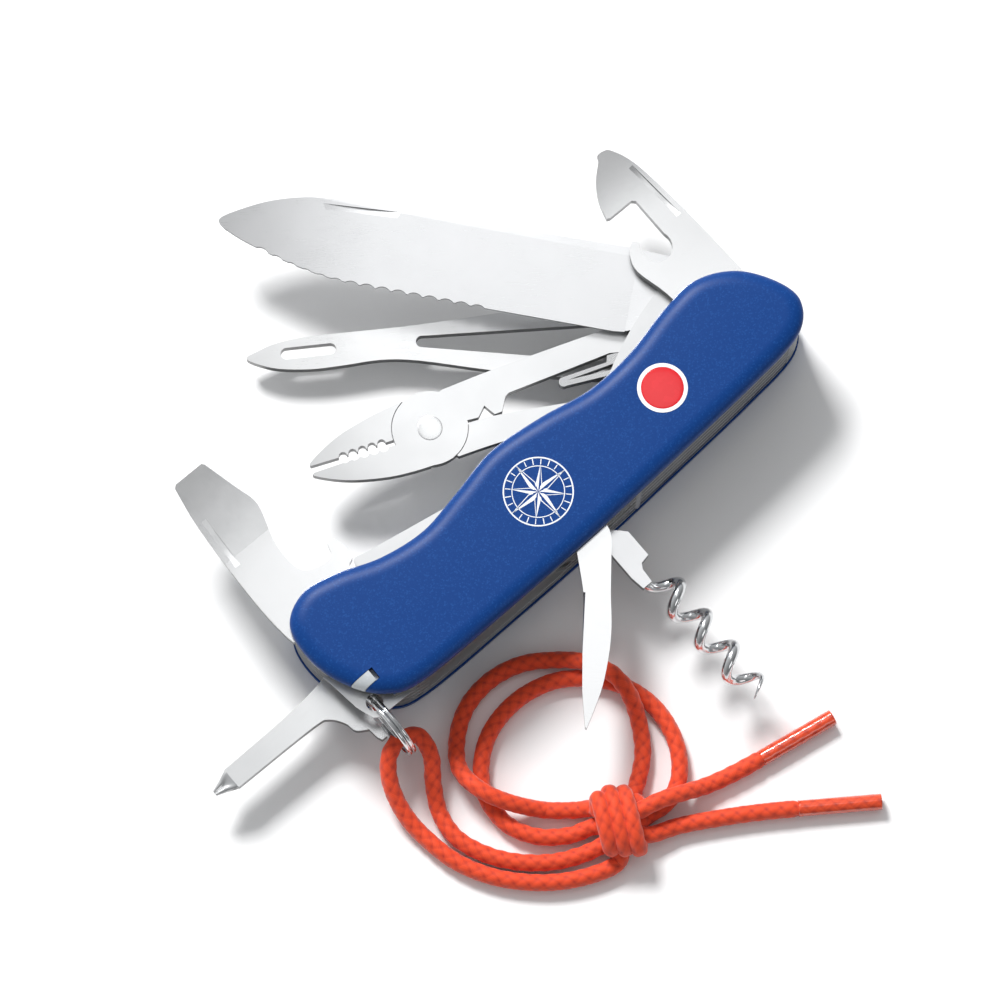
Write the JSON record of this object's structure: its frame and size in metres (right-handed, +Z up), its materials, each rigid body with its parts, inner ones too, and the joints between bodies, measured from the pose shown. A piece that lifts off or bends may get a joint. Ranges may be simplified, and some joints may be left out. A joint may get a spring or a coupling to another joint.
{
  "type": "folding rigging knife",
  "caption": "Folding rigging knife with a scalloped blade, pliers, marlin spike, openers, driver, corkscrew, reamer and a knotted lanyard on its key ring.",
  "frame": {"origin": "in the middle of the back scale's flat outer face, which the knife lies on", "axes": "+Z up out of the front scale, +X along the handle to the end with the blade's pivot, +Y the side that the main tools open to"},
  "size_m": [0.1387, 0.1603, 0.0215],
  "materials": {
    "blue_nylon": "fine moulded grain, semi-matte",
    "liner_metal": "brushed plate",
    "spring_steel": "polished back edge",
    "pin_metal": "turned",
    "red_enamel": "smooth gloss",
    "white_enamel": "smooth gloss",
    "satin_steel": "fine satin grind",
    "polished_steel": "tumbled and polished",
    "bright_wire": "polished wire",
    "grey_plastic": "smooth",
    "orange_cord": "braided cord",
    "clear_sleeve": "heat-shrunk clear sleeve over the cord"
  },
  "bodies": {
    "handle": {"front_scale": "blue_nylon", "back_scale": "blue_nylon", "front_liner": "liner_metal", "lock_liner": "liner_metal", "blade_liner": "liner_metal", "middle_liner": "liner_metal", "driver_liner": "liner_metal", "back_liner": "liner_metal", "opener_spring": "spring_steel", "blade_spring": "spring_steel", "pliers_spring_bar": "spring_steel", "driver_spring": "spring_steel", "spike_spring": "spring_steel", "right_pin": "pin_metal", "left_pin": "pin_metal", "middle_pin": "pin_metal", "spring_pin": "pin_metal", "badge": "red_enamel", "badge_rim": "white_enamel", "lanyard_neck": "orange_cord", "lanyard_over_loop": "orange_cord", "lanyard_under_loop": "orange_cord", "lanyard_upper_tail": "orange_cord", "lanyard_lower_tail": "orange_cord", "lanyard_knot": "orange_cord", "upper_sleeve": "clear_sleeve", "lower_sleeve": "clear_sleeve"},
    "blade": {"main_blade": "satin_steel"},
    "opener": {"can_opener": "polished_steel"},
    "lifter": {"cap_lifter": "polished_steel"},
    "driver": {"cross_driver": "polished_steel"},
    "pliers": {"pliers_tang_half": "satin_steel", "pliers_rivet": "pin_metal", "pliers_return_spring": "spring_steel"},
    "jaw": {"pliers_free_half": "satin_steel"},
    "spike": {"marlin_spike": "satin_steel"},
    "corkscrew": {"corkscrew_shank": "polished_steel", "corkscrew_worm": "bright_wire"},
    "awl": {"reamer": "satin_steel"},
    "pick": {"toothpick": "grey_plastic"},
    "tweezer": {"tweezers": "spring_steel"},
    "ring": {"key_ring": "bright_wire"}
  },
  "joints": [
    {"name": "blade_fold", "type": "hinge", "parent": "handle", "child": "blade", "pos_m": [0.046, 0, 0.01375], "axis": [0, 0, -1], "range_deg": [-49.5, 129]},
    {"name": "opener_fold", "type": "hinge", "parent": "handle", "child": "opener", "pos_m": [0.046, 0, 0.01675], "axis": [0, 0, -1], "range_deg": [-88, 90]},
    {"name": "lifter_fold", "type": "hinge", "parent": "handle", "child": "lifter", "pos_m": [-0.044, -0.003, 0.01675], "axis": [0, 0, 1], "range_deg": [-83, 88]},
    {"name": "driver_fold", "type": "hinge", "parent": "handle", "child": "driver", "pos_m": [-0.044, -0.003, 0.00775], "axis": [0, 0, 1], "range_deg": [-180, 0]},
    {"name": "pliers_fold", "type": "hinge", "parent": "handle", "child": "pliers", "pos_m": [0.046, 0, 0.01075], "axis": [0, 0, -1], "range_deg": [-22, 157]},
    {"name": "jaw_squeeze", "type": "hinge", "parent": "pliers", "child": "jaw", "pos_m": [-0.00969, 0.02364, 0.01075], "axis": [0, 0, -1], "range_deg": [-1, 14]},
    {"name": "spike_fold", "type": "hinge", "parent": "handle", "child": "spike", "pos_m": [0.046, 0, 0.00475], "axis": [0, 0, -1], "range_deg": [-38, 142]},
    {"name": "corkscrew_fold", "type": "hinge", "parent": "handle", "child": "corkscrew", "pos_m": [-0.0006, -0.0098, 0.01075], "axis": [0, 0, 1], "range_deg": [-90, 0]},
    {"name": "reamer_fold", "type": "hinge", "parent": "handle", "child": "awl", "pos_m": [-0.0006, -0.0098, 0.01675], "axis": [0, 0, 1], "range_deg": [-41, 43]},
    {"name": "pick_pull", "type": "slide", "parent": "handle", "child": "pick", "axis": [-1, 0, 0], "range_m": [0, 0.05]},
    {"name": "tweezer_pull", "type": "slide", "parent": "handle", "child": "tweezer", "axis": [-1, 0, 0], "range_m": [0, 0.05]},
    {"name": "ring_swing", "type": "hinge", "parent": "handle", "child": "ring", "pos_m": [-0.0503, -0.0094, 0.01525], "axis": [0, 0, 1], "range_deg": [-2, 2]}
  ]
}
